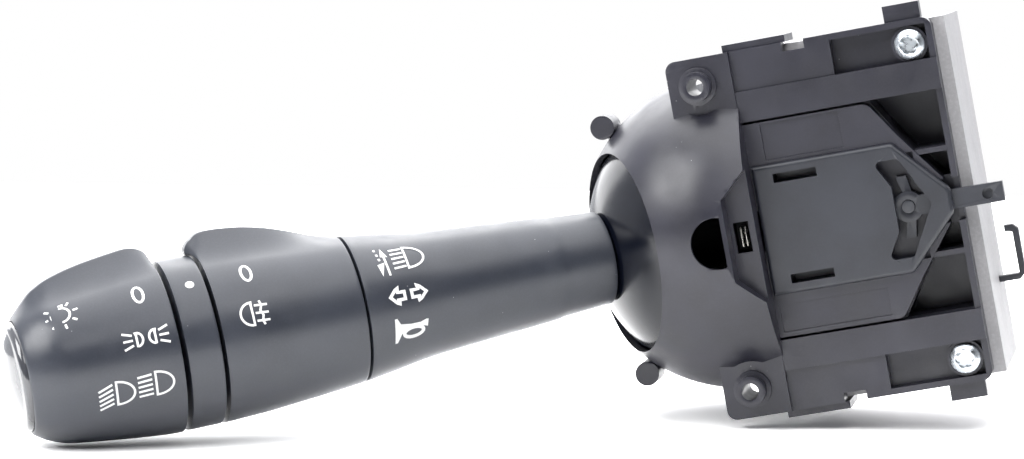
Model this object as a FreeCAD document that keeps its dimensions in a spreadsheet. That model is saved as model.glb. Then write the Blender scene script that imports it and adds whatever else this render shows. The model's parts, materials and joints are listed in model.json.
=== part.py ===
import FreeCAD, Part
import math
import os

import Sketcher
from FreeCAD import Placement, Rotation, Vector

# Combination stalk switch for a steering column, in millimetres.
# Row frame: +X from the knob to the housing, +Y away from the driver, +Z up.
# The origin is the middle of the two mounting holes, on the flange's rear face.
# Stalk pieces are drawn about their own Z axis, with the swivel point at zero,
# and are then laid along the stalk. "front" heights are measured towards the driver.

SIZES = {
    # swivel point and stalk
    "pivot_depth": 16.5, "stalk_tilt": 28.5,
    # dome and ball skirt
    "dome_radius": 31.6, "dome_wall": 1.2, "dome_right": 7.0, "dome_back": 26.0,
    "mouth_radius": 20.0, "facet_turn": 27.0, "facet_reach": 28.3, "skirt_radius": 30.1,
    "skirt_wall": 1.3, "skirt_half": 23.4, "window_radius": 5.0, "window_flat": 1.3,
    "slot_left": 2.8, "slot_right": 6.4, "slot_half": 3.0, "notch_left": 2.1, "notch_half": 8.0,
    "notch_front": 8.5,
    # flange and mounting bosses
    "flange_left": -5.8, "flange_right": 5.6, "plate_right": 46.3, "plate_half": 35.5,
    "flange_wall": 2.5, "corner": 2.0, "spacer_radius": 4.0, "spacer_length": 6.0,
    "room_row": 25.2, "hole_pitch": 60.0, "hole_radius": 1.65,
    "boss_radius": 2.9, "boss_foot": 3.7, "boss_height": 4.0, "scallop_radius": 5.6,
    # sunk floor, rails, platforms and ribs of the plate
    "floor_drop": 2.0, "floor_wall": 1.5, "rim_wall": 1.2, "rim_height": 1.4,
    "rail_edge": 8.0, "rail_width": 6.0, "rail_front": 2.2, "wing_right": 26.5,
    "wing_front": 1.4, "deck_left": 7.4, "deck_half": 21.0, "deck_front": 1.9,
    "deck_corner": 31.5, "deck_mid": 36.6, "deck_mid_half": 13.5, "deck_nose": 43.4,
    "deck_nose_half": 4.5, "deck_bend": 2.2, "rib_wall": 1.0, "rib_place": 10.0, "pan_depth": 0.4,
    # mechanism cover, its slots and its window
    "cover_wall": 1.7, "cover_half": 12.7, "cover_corner": 35.0, "cover_nose": 44.6,
    "cover_nose_half": 2.4, "cover_bend": 1.3, "nose_bend": 2.1, "cover_edge": 0.9,
    "snap_left": 11.4, "snap_right": 19.9,
    "snap_place": 9.9, "snap_width": 1.8, "chevron_left": 30.7, "chevron_knee": 35.7,
    "chevron_half": 9.6, "chevron_bend": 0.9, "chevron_tip": 40.7, "chevron_inner": 33.6,
    "chevron_waist": 4.4,
    # cancel pawl
    "pawl_pivot": 36.0, "pawl_pin": 1.25, "pawl_eye": 3.0, "pawl_half": 1.9, "pawl_tip": 54.4,
    "pawl_wall": 2.2, "pawl_back": -0.6, "pawl_room": 4.2, "nest_left": 29.6, "nest_half": 10.4,
    "nest_floor": -1.0, "dimple_inset": 3.0, "dimple_radius": 1.1,
    # screws
    "screw_place": 41.6, "screw_edge": 4.8, "head_radius": 2.9, "head_height": 2.0,
    "shank_radius": 1.5, "shank_length": 12.0, "seat_radius": 3.5, "seat_front": 0.6,
    "recess_radius": 1.9, "recess_depth": 1.1,
    # rear carrier, rear shell, board and connector
    "carrier_left": 8.2, "carrier_right": 48.6, "carrier_half": 35.0, "carrier_back": 38.0,
    "carrier_wall": 1.6, "lip_wall": 1.5, "lip_cover": 0.5, "shell_back": 44.0,
    "shell_wall": 1.4, "shell_bevel": 3.0, "strap_right": 18.0,
    "clip_left": 17.2, "clip_right": 21.6, "clip_depth": 1.8,
    "strap_wall": 1.4, "strap_depth": 9.0, "tab_left": 37.5, "tab_right": 44.5, "tab_reach": 3.2,
    "board_depth": 24.0, "board_wall": 1.6, "board_gap": 0.2,
    "socket_left": 14.0, "socket_right": 40.0, "socket_half": 7.0, "socket_wall": 1.3,
    "socket_mouth": 46.0, "socket_floor": 34.0, "contact_pitch": 4.0, "contact_row": 2.5,
    "contact_half": 0.4, "contact_reach": 40.0,
    "peg_stand": 1.97, "peg_turn": 48.14, "peg_radius": 2.4, "peg_front": 10.0, "peg_back": 18.0,
    "peg_root": 2.0, "hook_row": 14.5, "hook_reach": 5.4, "hook_wall": 1.2, "hook_depth": 27.0,
    # contacts behind the dome's window
    "block_front": 4.5, "block_back": 6.0, "blade_wall": 0.4, "blade_reach": 2.5, "blade_half": 2.0,
    # swivel carrier and cross pin
    "yoke_half": 10.5, "yoke_cheek": 2.6, "yoke_back": 11.0, "yoke_left": -9.0,
    "yoke_right": 3.0, "yoke_front": 7.0,
    "yoke_wall": 3.0, "cross_radius": 2.0, "swivel_radius": 3.0, "fit": 0.05,
    "washer_radius": 5.5, "washer_wall": 1.2, "washer_gap": 0.1,
    # stalk along its axis from the swivel point
    "core_radius": 6.5, "core_bore": 2.56, "core_start": 6.0, "core_proud": 0.2,
    "ball_radius": 5.3, "hub_radius": 4.2, "hub_gap": 0.2, "drum_lead": 4.0,
    "sleeve_start": 29.0, "sleeve_end": 81.2, "sleeve_thin": 9.25, "sleeve_mid": 11.05,
    "sleeve_thick": 14.4, "sleeve_wall": 1.7, "joint_gap": 0.5,
    "fog_length": 28.2, "fog_thick": 16.45, "index_groove": 1.5, "index_length": 5.8,
    "index_radius": 16.4, "drum_radius": 11.5, "drum_small": 8.6, "knob_wall": 1.8,
    "knob_groove": 1.0, "knob_body": 18.8, "knob_length": 28.0, "knob_thick": 16.5,
    "knob_shoulder_radius": 14.6, "knob_mouth": 10.6,
    "button_gap": 0.08, "button_skirt": 7.0, "button_rise": 1.4, "button_crown": 2.3,
    "button_wall": 1.5, "button_post": 2.5, "button_travel": 1.6, "post_length": 19.0,
    "contact_wall": 0.5, "contact_length": 3.0,
    "spring_radius": 4.4, "spring_wire": 0.45, "spring_pitch": 1.5, "spring_height": 5.6,
    # fins
    "fin_base": 4.2, "fin_top": 1.5, "knob_fin": 20.0, "fog_fin": 20.5,
}

doc = FreeCAD.newDocument("stalk_switch")
sheet = doc.addObject("Spreadsheet::Sheet", "d")
for row, (alias, number) in enumerate(SIZES.items(), start=1):
    sheet.set(f"A{row}", alias)
    sheet.set(f"B{row}", str(number))
    sheet.setAlias(f"B{row}", alias)
doc.recompute()

TILT = math.radians(sheet.stalk_tilt)
PIVOT = Vector(0, sheet.pivot_depth, 0)
ALONG = Vector(-math.cos(TILT), -math.sin(TILT), 0)
ASIDE = Vector(-math.sin(TILT), math.cos(TILT), 0)
STALK = Placement(PIVOT, Rotation(Vector(0, 0, 1), ASIDE, ALONG, "ZXY"))
HERE = Placement()

# Places along the stalk and across the plate that follow from the sizes above
FOG_START = "(d.sleeve_end + d.joint_gap)"
FOG_END = f"({FOG_START} + d.fog_length)"
INDEX_START = f"({FOG_END} + d.index_groove)"
INDEX_END = f"({INDEX_START} + d.index_length)"
KNOB_START = f"({INDEX_END} + d.knob_groove)"
KNOB_SHOULDER = f"({KNOB_START} + d.knob_body)"
KNOB_END = f"({KNOB_START} + d.knob_length)"
CORE_END = f"({KNOB_SHOULDER} + d.core_proud)"
BUTTON_RADIUS = "(d.knob_mouth - d.button_gap)"
BUTTON_START = f"({KNOB_END} - d.button_skirt)"
BUTTON_RIM = f"({KNOB_END} + d.button_rise)"
BUTTON_TIP = f"({BUTTON_RIM} + d.button_crown)"
POST_END = f"({CORE_END} - d.post_length)"
SCREW_ROW = "(d.plate_half - d.screw_edge)"
RAIL_HIGH = "(d.plate_half - d.rail_edge)"
RAIL_LOW = f"({RAIL_HIGH} - d.rail_width)"
PEG_REACH = "(d.dome_radius + d.peg_stand)"

nodes = {}


def value(expression):
    """The number that an expression over the sheet gives."""
    return float(sheet.evalExpression(expression))


def new_body(name):
    return doc.addObject("PartDesign::Body", name)


def plane_of(body, role):
    return next(f for f in body.Origin.OriginFeatures if f.Role == role)


def place_vertex(sketch, edge, end, across, up):
    """Pin one end of an edge to the sheet's values."""
    for kind, axis, text in (("DistanceX", -2, across), ("DistanceY", -1, up)):
        if text == "0":
            sketch.addConstraint(Sketcher.Constraint("PointOnObject", edge, end, axis))
            continue
        number = sketch.addConstraint(Sketcher.Constraint(kind, -1, 1, edge, end, value(text)))
        sketch.setExpression(f"Constraints[{number}]", text)


def arc_between(start, end, radius, turn):
    """A minor arc; turn is 1 when it runs anticlockwise and -1 when clockwise."""
    first, last = (start, end) if turn > 0 else (end, start)
    chord = last - first
    drop = math.sqrt(max(radius * radius - chord.Length * chord.Length / 4, 0))
    side = Vector(-chord.y, chord.x, 0).normalize()
    centre = (first + last) * 0.5 + side * drop
    angles = [math.atan2(p.y - centre.y, p.x - centre.x) for p in (first, last)]
    if angles[1] < angles[0]:
        angles[1] += 2 * math.pi
    circle = Part.Circle(centre, Vector(0, 0, 1), radius)
    return Part.ArcOfCircle(circle, angles[0], angles[1])


def add_loop(sketch, points):
    """A closed loop; a point may also carry (radius, turn) of the arc that leaves it."""
    first = len(sketch.Geometry)
    spots = [Vector(value(p[0]), value(p[1]), 0) for p in points]
    count = len(points)
    ends = []
    for index, point in enumerate(points):
        start, end = spots[index], spots[(index + 1) % count]
        if len(point) > 2:
            sketch.addGeometry(arc_between(start, end, value(point[2]), point[3]), False)
            ends.append((1, 2) if point[3] > 0 else (2, 1))
        else:
            sketch.addGeometry(Part.LineSegment(start, end), False)
            ends.append((1, 2))
    for index, point in enumerate(points):
        after = (index + 1) % count
        joint = (first + index, ends[index][1], first + after, ends[after][0])
        sketch.addConstraint(Sketcher.Constraint("Coincident", *joint))
        place_vertex(sketch, first + index, ends[index][0], point[0], point[1])
        if len(point) > 2:
            bend = Sketcher.Constraint("Radius", first + index, value(point[2]))
            number = sketch.addConstraint(bend)
            sketch.setExpression(f"Constraints[{number}]", point[2])


def add_circle(sketch, across, up, radius):
    centre = Vector(value(across), value(up), 0)
    edge = len(sketch.Geometry)
    sketch.addGeometry(Part.Circle(centre, Vector(0, 0, 1), value(radius)), False)
    place_vertex(sketch, edge, 3, across, up)
    number = sketch.addConstraint(Sketcher.Constraint("Radius", edge, value(radius)))
    sketch.setExpression(f"Constraints[{number}]", radius)


def draw(body, name, shapes, offset="0", role="XZ_Plane"):
    """A sketch on one of the body's planes; offset is measured towards the driver on XZ."""
    sketch = body.newObject("Sketcher::SketchObject", name)
    sketch.AttachmentSupport = [(plane_of(body, role), "")]
    sketch.MapMode = "FlatFace"
    sketch.setExpression(".AttachmentOffset.Base.z", offset)
    for shape in shapes:
        if len(shape) == 3 and isinstance(shape[0], str):
            add_circle(sketch, *shape)
        else:
            add_loop(sketch, shape)
    doc.recompute()
    return sketch


def pad(body, name, shapes, back, height, role="XZ_Plane"):
    feature = body.newObject("PartDesign::Pad", name)
    feature.Profile = draw(body, name + "_sketch", shapes, back, role)
    feature.setExpression("Length", height)
    doc.recompute()
    return feature


def pocket(body, name, shapes, front, depth, role="XZ_Plane"):
    feature = body.newObject("PartDesign::Pocket", name)
    feature.Profile = draw(body, name + "_sketch", shapes, front, role)
    feature.setExpression("Length", depth)
    doc.recompute()
    return feature


def turn(body, name, profile, kind="Revolution", role="XZ_Plane"):
    """Turn a profile about the sketch's upright axis, as a solid or as a groove."""
    feature = body.newObject("PartDesign::" + kind, name)
    sketch = draw(body, name + "_sketch", [profile], "0", role)
    feature.Profile = sketch
    feature.ReferenceAxis = (sketch, ["V_Axis"])
    feature.Angle = 360
    doc.recompute()
    return feature


def upright(edge, across=None, up=None):
    """Whether an edge runs front to back, at a place across and a height up if these are given."""
    limits = edge.BoundBox
    if limits.XLength > 0.01 or limits.ZLength > 0.01:
        return False
    if across is not None and abs(limits.XMin - across) > 0.01:
        return False
    return up is None or abs(abs(limits.ZMin) - up) < 0.01


def soften(body, name, choose, radius, kind="Fillet"):
    """Round or bevel the edges of the body's last feature that choose() accepts."""
    base = body.Tip
    edges = [f"Edge{i}" for i, e in enumerate(base.Shape.Edges, start=1) if choose(e)]
    feature = body.newObject("PartDesign::" + kind, name)
    feature.Base = (base, edges)
    feature.setExpression("Radius" if kind == "Fillet" else "Size", radius)
    doc.recompute()
    return feature


def rectangle(left, low, right, high):
    return [(left, low), (right, low), (right, high), (left, high)]


def primitive(kind, name, **sizes):
    shape = doc.addObject("Part::" + kind, name)
    for key, text in sizes.items():
        shape.setExpression(key, text)
    return shape


def box(name, low, high):
    """A box between two corners, each corner three expressions."""
    sizes = [f"({b}) - ({a})" for a, b in zip(low, high)]
    shape = primitive("Box", name, Length=sizes[0], Width=sizes[1], Height=sizes[2])
    for axis, text in zip("xyz", low):
        shape.setExpression(f".Placement.Base.{axis}", text)
    return shape


def cylinder(name, radius, height, spot, direction):
    """A round bar from a spot, given as three expressions, along a direction."""
    shape = primitive("Cylinder", name, Radius=radius, Height=height)
    shape.Placement = Placement(Vector(), Rotation(Vector(0, 0, 1), direction))
    for axis, text in zip("xyz", spot):
        shape.setExpression(f".Placement.Base.{axis}", text)
    return shape


def combine(kind, name, pieces):
    """Fuse, or keep what is common to, a list of solids."""
    shape = doc.addObject("Part::" + kind, name)
    shape.Shapes = pieces
    return shape


def cut(name, base, tool):
    shape = doc.addObject("Part::Cut", name)
    shape.Base = base
    shape.Tool = tool
    return shape


def keep(name, shape, placement=HERE):
    """Register a finished sub-part under its own name and lay it in place."""
    shape.Label = name
    if placement is not HERE:
        shape.Placement = placement
    nodes[name] = shape
    return shape


FRONT = Vector(0, -1, 0)
REAR = Vector(0, 1, 0)
UP = Vector(0, 0, 1)


def snap_slot(sign):
    """The slot in the cover, and the well under it, for one snap hook."""
    place = f"{sign}d.snap_place"
    return rectangle("d.snap_left", f"{place} - d.snap_width / 2", "d.snap_right",
                     f"{place} + d.snap_width / 2")


def flange_outline(sign):
    """A mounting ear with one rounded outer corner; sign is empty above and minus below."""
    low = f"{sign}({RAIL_LOW} - 1)"
    edge = f"{sign}d.plate_half"
    way = 1 if sign == "" else -1
    return [("d.flange_left", low), ("d.flange_right", low), ("d.flange_right", edge),
            ("d.flange_left + d.corner", edge, "d.corner", way),
            ("d.flange_left", f"{sign}(d.plate_half - d.corner)")]


# Flange, sunk floor, rails, platform and bosses of the housing
def housing_plate():
    body = new_body("housing_plate")
    floor_back = "-d.floor_drop - d.floor_wall"
    pad(body, "floor", [rectangle("d.flange_right", "-d.plate_half", "d.plate_right",
                                  "d.plate_half")], floor_back, "d.floor_wall")
    rise = "d.floor_drop + d.floor_wall + "
    for side, sign in (("top", ""), ("bottom", "-")):
        low, high = sign + RAIL_LOW, sign + RAIL_HIGH
        edge = sign + "d.plate_half"
        pad(body, side + "_rail", [rectangle("d.flange_right", low, "d.plate_right", high)],
            floor_back, rise + "d.rail_front")
        pad(body, side + "_wing", [rectangle("d.flange_right", high, "d.wing_right", edge)],
            floor_back, rise + "d.wing_front")
        inner = f"{sign}(d.plate_half - d.rim_wall)"
        pad(body, side + "_rim", [rectangle("d.wing_right", inner, "d.plate_right", edge)],
            floor_back, rise + "d.rim_height")
        rib = f"{sign}d.rib_place"
        pad(body, side + "_rib", [rectangle("d.deck_mid", f"{rib} - d.rib_wall / 2",
                                            "d.plate_right", f"{rib} + d.rib_wall / 2")],
            floor_back, rise + "d.rim_height")
        pad(body, side + "_seat", [("d.screw_place", sign + SCREW_ROW, "d.seat_radius")],
            floor_back, rise + "d.seat_front")
        pad(body, side + "_flange", [flange_outline(sign)], "0", "d.flange_wall")
        pad(body, side + "_step", [rectangle("d.flange_right", low,
                                             "d.flange_right + d.rim_wall", edge)],
            floor_back, rise + "d.flange_wall")
    pad(body, "end_rim", [rectangle("d.plate_right - d.rim_wall", "-d.plate_half",
                                    "d.plate_right", "d.plate_half")],
        floor_back, rise + "d.rim_height")
    pad(body, "deck", [[("d.flange_right", "-d.deck_half"), ("d.deck_corner", "-d.deck_half"),
                        ("d.deck_mid", "-d.deck_mid_half"), ("d.deck_nose", "-d.deck_nose_half"),
                        ("d.deck_nose", "d.deck_nose_half"), ("d.deck_mid", "d.deck_mid_half"),
                        ("d.deck_corner", "d.deck_half"), ("d.flange_right", "d.deck_half")]],
        floor_back, rise + "d.deck_front")
    soften(body, "deck_corners", lambda e: upright(e, sheet.deck_corner, sheet.deck_half)
           or upright(e, sheet.deck_mid, sheet.deck_mid_half), "d.deck_bend")
    for side, sign in (("top", ""), ("bottom", "-")):
        pocket(body, side + "_clip_notch",
               [rectangle("d.clip_left", f"{sign}(d.plate_half - d.clip_depth)", "d.clip_right",
                          f"{sign}(d.plate_half + 1)")],
               "d.wing_front", "d.wing_front + d.floor_drop + d.floor_wall")
    pocket(body, "upper_pan", [rectangle("d.deck_left + 3", "d.cover_half + 0.8", "25.8", "20.6")],
           "d.deck_front", "d.pan_depth")
    pocket(body, "lower_pan", [rectangle("d.deck_left + 0.6", "-20.1", "29.3",
                                         "-d.cover_half - 1.9")], "d.deck_front", "d.pan_depth")
    snaps = [snap_slot(sign) for sign in ("", "-")]
    pocket(body, "snap_wells", snaps, "d.deck_front", "d.deck_front + d.floor_drop")
    pocket(body, "pawl_nest", [rectangle("d.nest_left", "-d.nest_half", "d.deck_mid + 2",
                                         "d.nest_half")],
           "d.deck_front", "d.deck_front - d.nest_floor")
    pocket(body, "pawl_way", [rectangle("d.deck_mid", "-d.pawl_room", "d.plate_right",
                                        "d.pawl_room")],
           "d.deck_front", "d.deck_front - d.nest_floor")
    for side, sign in (("top", ""), ("bottom", "-")):
        centre = ("0", f"{sign}d.hole_pitch / 2")
        pad(body, side + "_foot", [(*centre, "d.boss_foot")], "0", "d.flange_wall + 0.8")
        pad(body, side + "_spacer", [(*centre, "d.spacer_radius")], "-d.spacer_length",
            "d.spacer_length")
        pad(body, side + "_boss", [(*centre, "d.boss_radius")], "0",
            "d.flange_wall + d.boss_height")
        outer = f"{sign}(d.plate_half + d.strap_wall)"
        pad(body, side + "_skirt", [rectangle("d.flange_right", sign + "d.plate_half",
                                              "d.strap_right", outer)],
            f"{floor_back} - d.strap_depth", rise + "d.strap_depth + d.wing_front - 1")
        pad(body, side + "_tab", [rectangle("d.tab_left", sign + "d.plate_half", "d.tab_right",
                                            f"{sign}(d.plate_half + d.tab_reach)")],
            floor_back, rise + "0.2")
    for side, sign in (("top", ""), ("bottom", "-")):
        centre = ("0", f"{sign}d.hole_pitch / 2")
        pocket(body, side + "_hole", [(*centre, "d.hole_radius")],
               "d.flange_wall + d.boss_height",
               "d.flange_wall + d.boss_height + d.spacer_length")
        pocket(body, side + "_pilot", [("d.screw_place", sign + SCREW_ROW, "d.shank_radius")],
               "d.seat_front", "d.seat_front + d.floor_drop + d.floor_wall")
    soften(body, "plate_corners", lambda e: upright(e, sheet.plate_right, sheet.plate_half),
           "d.corner")
    return body


def half_space(name, reach):
    """A large block behind the dome's slanted facet, at a reach from the swivel point."""
    block = primitive("Box", name, Length="6 * d.dome_radius", Width="3 * d.dome_radius",
                      Height="6 * d.dome_radius")
    middle = 3 * sheet.dome_radius
    angle = math.radians(sheet.facet_turn)
    outward = Vector(math.sin(angle), -math.cos(angle), 0)
    turned = Rotation(UP, sheet.facet_turn)
    corner = PIVOT + outward * value(reach) - turned.multVec(Vector(middle, 0, 0)) - UP * middle
    block.Placement = Placement(corner, turned)
    return block


def ball_part(name, radius, right, reach, back):
    """A ball about the swivel point, trimmed on the right, at the facet and at the back."""
    ball = primitive("Sphere", name + "_ball", Radius=radius)
    ball.Placement = Placement(PIVOT, Rotation())
    trim = box(name + "_trim", ("-60", "-60", "-60"), (right, back, "60"))
    return combine("MultiCommon", name, [ball, trim, half_space(name + "_facet", reach)])


def clear_bracket(name, solid, grow):
    """Cut away the room behind the flange where the column bracket lies."""
    rooms = []
    row = f"(d.room_row - {grow})"
    for side, low, high in (("top", row, "2 * d.dome_radius"),
                            ("bottom", "-2 * d.dome_radius", "-" + row)):
        rooms.append(box(f"{name}_{side}_room", (f"d.flange_left - {grow}", f"-{grow}", low),
                         ("d.dome_right + 1", "d.shell_back + 1", high)))
    return cut(name, solid, combine("MultiFuse", name + "_rooms", rooms))


def window_recess(name, solid, grow):
    """Cut the sunk, eight-sided field round the contact window out of the dome."""
    body = new_body(name + "_recess")
    left, right = f"(d.notch_left - {grow})", "(d.dome_right + 1)"
    half = f"(d.notch_half + {grow} * tan(22.5))"
    far = f"({half} + {right} - {left})"
    pad(body, name + "_field", [[(left, "-" + half), (right, "-" + far), (right, far),
                                 (left, half)]], f"d.notch_front - {grow}", "d.dome_radius")
    return cut(name, solid, body)


def pegs():
    """Two guide studs on short roots that stand out of the dome."""
    start = "(d.dome_radius - d.dome_wall / 2)"
    place = f"(-{PEG_REACH} * cos(d.peg_turn))"
    pieces = []
    for side, sign in (("top", ""), ("bottom", "-")):
        row = f"{sign}({PEG_REACH} * sin(d.peg_turn))"
        pieces.append(cylinder(side + "_peg", "d.peg_radius", "d.peg_back - d.peg_front",
                               (place, "d.peg_back", row), FRONT))
        outward = Vector(value(place), 0, value(row))
        pieces.append(cylinder(side + "_peg_root", "d.peg_root", f"{PEG_REACH} - {start}",
                               (f"{place} * {start} / {PEG_REACH}", "d.peg_back - d.peg_root",
                                f"{row} * {start} / {PEG_REACH}"), outward))
    return pieces


def switch_housing():
    outer = ball_part("dome_outer", "d.dome_radius", "d.dome_right", "d.facet_reach", "d.dome_back")
    inner = ball_part("dome_inner", "d.dome_radius - d.dome_wall", "d.dome_right - d.dome_wall",
                      "d.facet_reach - d.dome_wall", "d.dome_back + 5")
    outer = window_recess("dome_shape", clear_bracket("dome_solid", outer, "0"), "0")
    inner = window_recess("dome_cavity", clear_bracket("dome_hollow", inner, "d.dome_wall"),
                          "d.dome_wall")
    solid = combine("MultiFuse", "housing_solid", [housing_plate(), outer, *pegs()])
    mouth = primitive("Cylinder", "dome_mouth", Radius="d.mouth_radius", Height="60")
    mouth.Placement = STALK
    round_window = cylinder("window_round", "d.window_radius", "40", ("0", "0", "0"), FRONT)
    window_side = box("window_side", ("-20", "-40", "-10"), ("d.window_flat", "2", "10"))
    window = combine("MultiCommon", "window", [round_window, window_side])
    slot = box("contact_slot", ("d.slot_left", "-40", "-d.slot_half"),
               ("d.slot_right - 0.6", "0", "d.slot_half"))
    scallops = [cylinder(side + "_scallop", "d.scallop_radius", "20",
                         ("0", "-d.flange_wall - 20", f"{sign}d.hole_pitch / 2"), REAR)
                for side, sign in (("top", ""), ("bottom", "-"))]
    bosses = [cylinder(side + "_guard", "d.boss_foot", "d.boss_height + 0.01",
                       ("0", "-d.flange_wall", f"{sign}d.hole_pitch / 2"), FRONT)
              for side, sign in (("top", ""), ("bottom", "-"))]
    relief = cut("scallops", combine("MultiFuse", "scallop_pair", scallops),
                 combine("MultiFuse", "boss_guards", bosses))
    tools = combine("MultiFuse", "housing_tools", [inner, mouth, window, slot, relief])
    keep("switch_housing", cut("switch_housing", solid, tools))


def mechanism_cover():
    body = new_body("mechanism_cover")
    pad(body, "panel", [[("d.deck_left", "-d.cover_half"), ("d.cover_corner", "-d.cover_half"),
                         ("d.cover_nose", "-d.cover_nose_half"),
                         ("d.cover_nose", "d.cover_nose_half"),
                         ("d.cover_corner", "d.cover_half"), ("d.deck_left", "d.cover_half")]],
        "d.deck_front", "d.cover_wall")
    soften(body, "panel_bends", lambda e: upright(e, sheet.cover_corner, sheet.cover_half),
           "d.cover_bend")
    soften(body, "nose_bends", lambda e: upright(e, sheet.cover_nose, sheet.cover_nose_half),
           "d.nose_bend")
    front = -(sheet.deck_front + sheet.cover_wall)
    soften(body, "panel_edge",
           lambda e: abs(e.BoundBox.YMin - front) < 0.01 and e.BoundBox.YLength < 0.01,
           "d.cover_edge")
    slots = [snap_slot(sign) for sign in ("", "-")]
    chevron = [("d.chevron_left", "-d.chevron_half"), ("d.chevron_knee", "-d.chevron_half"),
               ("d.chevron_tip", "0"), ("d.chevron_knee", "d.chevron_half"),
               ("d.chevron_left", "d.chevron_half"), ("d.chevron_inner", "d.chevron_waist"),
               ("d.chevron_inner", "-d.chevron_waist")]
    pocket(body, "openings", slots + [chevron], "d.deck_front + d.cover_wall", "d.cover_wall")
    low, high = sheet.chevron_left - 0.1, sheet.chevron_knee + 0.1
    soften(body, "chevron_bends",
           lambda e: upright(e, up=sheet.chevron_half) and low < e.BoundBox.XMin < high,
           "d.chevron_bend")
    keep("mechanism_cover", body)


def cancel_pawl():
    body = new_body("cancel_pawl")
    pad(body, "arm", [[("d.pawl_pivot", "-d.pawl_half"), ("d.pawl_tip", "-d.pawl_half"),
                       ("d.pawl_tip", "d.pawl_half"), ("d.pawl_pivot", "d.pawl_half")]],
        "d.pawl_back", "d.pawl_wall")
    pad(body, "eye", [("d.pawl_pivot", "0", "d.pawl_eye")], "d.pawl_back", "d.pawl_wall")
    pad(body, "horns", [[("d.pawl_pivot - d.pawl_eye / 2", "-2 * d.pawl_eye"),
                         ("d.pawl_pivot + d.pawl_eye / 6", "-2 * d.pawl_eye"),
                         ("d.pawl_pivot + d.pawl_eye / 2", "0"),
                         ("d.pawl_pivot + d.pawl_eye / 6", "2 * d.pawl_eye"),
                         ("d.pawl_pivot - d.pawl_eye / 2", "2 * d.pawl_eye"),
                         ("d.pawl_pivot", "0")]],
        "d.pawl_back", "d.pawl_wall - 0.4")
    pocket(body, "pivot_hole", [("d.pawl_pivot", "0", "d.pawl_pin + d.fit")],
           "d.pawl_back + d.pawl_wall", "d.pawl_wall")
    pocket(body, "dimple", [("d.pawl_tip - d.dimple_inset", "0", "d.dimple_radius")],
           "d.pawl_back + d.pawl_wall", "0.8")
    keep("cancel_pawl", body)
    pin = cylinder("pawl_pin", "d.pawl_pin", "d.deck_front - d.nest_floor",
                   ("d.pawl_pivot", "-d.nest_floor", "0"), FRONT)
    keep("pawl_pin", pin)


def housing_screw(side, sign):
    body = new_body(side + "_screw")
    turn(body, "screw", [("0", "-d.shank_length"), ("d.shank_radius - 0.2", "-d.shank_length"),
                         ("d.shank_radius - 0.05", "-d.shank_length + 1"),
                         ("d.shank_radius - 0.05", "0"), ("d.head_radius", "0"),
                         ("d.head_radius", "d.head_height * 0.55"),
                         ("d.recess_radius", "d.head_height"), ("0", "d.head_height")])
    lobes = [(f"d.recess_radius * 0.62 * cos({60 * i})", f"d.recess_radius * 0.62 * sin({60 * i})",
              "d.recess_radius * 0.36") for i in range(6)]
    for number, lobe in enumerate(lobes):
        text = tuple(str(round(value(part), 4)) if part.startswith("d.recess_radius * 0.62") else
                     part for part in lobe)
        pocket(body, f"lobe_{number}", [text], "d.head_height", "d.recess_depth", "XY_Plane")
    pocket(body, "recess", [("0", "0", "d.recess_radius * 0.7")], "d.head_height",
           "d.recess_depth", "XY_Plane")
    spot = Vector(sheet.screw_place, -sheet.seat_front, sign * value(SCREW_ROW))
    keep(side + "_screw", body, Placement(spot, Rotation(Vector(0, 0, 1), FRONT)))


# Off-white box behind the plate that holds the board
def rear_carrier():
    back = "-d.carrier_back"
    front = "d.floor_drop + d.floor_wall"
    body = new_body("rear_carrier")
    pad(body, "block", [rectangle("d.carrier_left", "-d.carrier_half", "d.carrier_right",
                                  "d.carrier_half")], back, f"d.carrier_back - ({front})")
    for name, right, start, depth in (
            ("mouth", "d.plate_right - d.lip_cover", f"-({front})", "d.lip_wall"),
            ("inside", "d.carrier_right - d.carrier_wall", f"-({front}) - d.lip_wall",
             f"d.carrier_back - ({front}) - d.carrier_wall - d.lip_wall")):
        pocket(body, name, [rectangle("d.carrier_left + d.carrier_wall",
                                      "-d.carrier_half + d.carrier_wall", right,
                                      "d.carrier_half - d.carrier_wall")], start, depth)
    for sign in ("", "-"):
        side = "top" if sign == "" else "bottom"
        pad(body, side + "_post", [("d.screw_place", sign + SCREW_ROW, "d.seat_radius")],
            back, f"d.carrier_back - ({front})")
    for sign in ("", "-"):
        side = "top" if sign == "" else "bottom"
        pocket(body, side + "_pilot", [("d.screw_place", sign + SCREW_ROW, "d.shank_radius")],
               f"-({front})", "d.shank_length")
    for number, sign in enumerate(("", "-")):
        ledge = f"{sign}(d.carrier_half - d.carrier_wall)"
        inner = f"{sign}(d.carrier_half - d.carrier_wall - 3)"
        pad(body, f"ledge_{number}", [rectangle("d.carrier_left + 2", inner, "d.screw_place - 8",
                                                ledge)],
            back, "d.carrier_back - d.board_depth - d.board_wall")
    pocket(body, "socket_hole", [rectangle("d.socket_left", "-d.socket_half", "d.socket_right",
                                           "d.socket_half")],
           "-d.carrier_back + d.carrier_wall + 1", "d.carrier_wall + 1")
    keep("rear_carrier", body)


def circuit_board():
    body = new_body("circuit_board")
    inset = "(d.carrier_wall + d.board_gap)"
    pad(body, "board", [rectangle(f"d.carrier_left + {inset}", f"-d.carrier_half + {inset}",
                                  f"d.carrier_right - {inset}", f"d.carrier_half - {inset}")],
        "-d.board_depth - d.board_wall", "d.board_wall")
    pocket(body, "post_notches", [("d.screw_place", sign + SCREW_ROW, "d.seat_radius + 0.3")
                                  for sign in ("", "-")], "-d.board_depth", "d.board_wall")
    keep("circuit_board", body)


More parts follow.
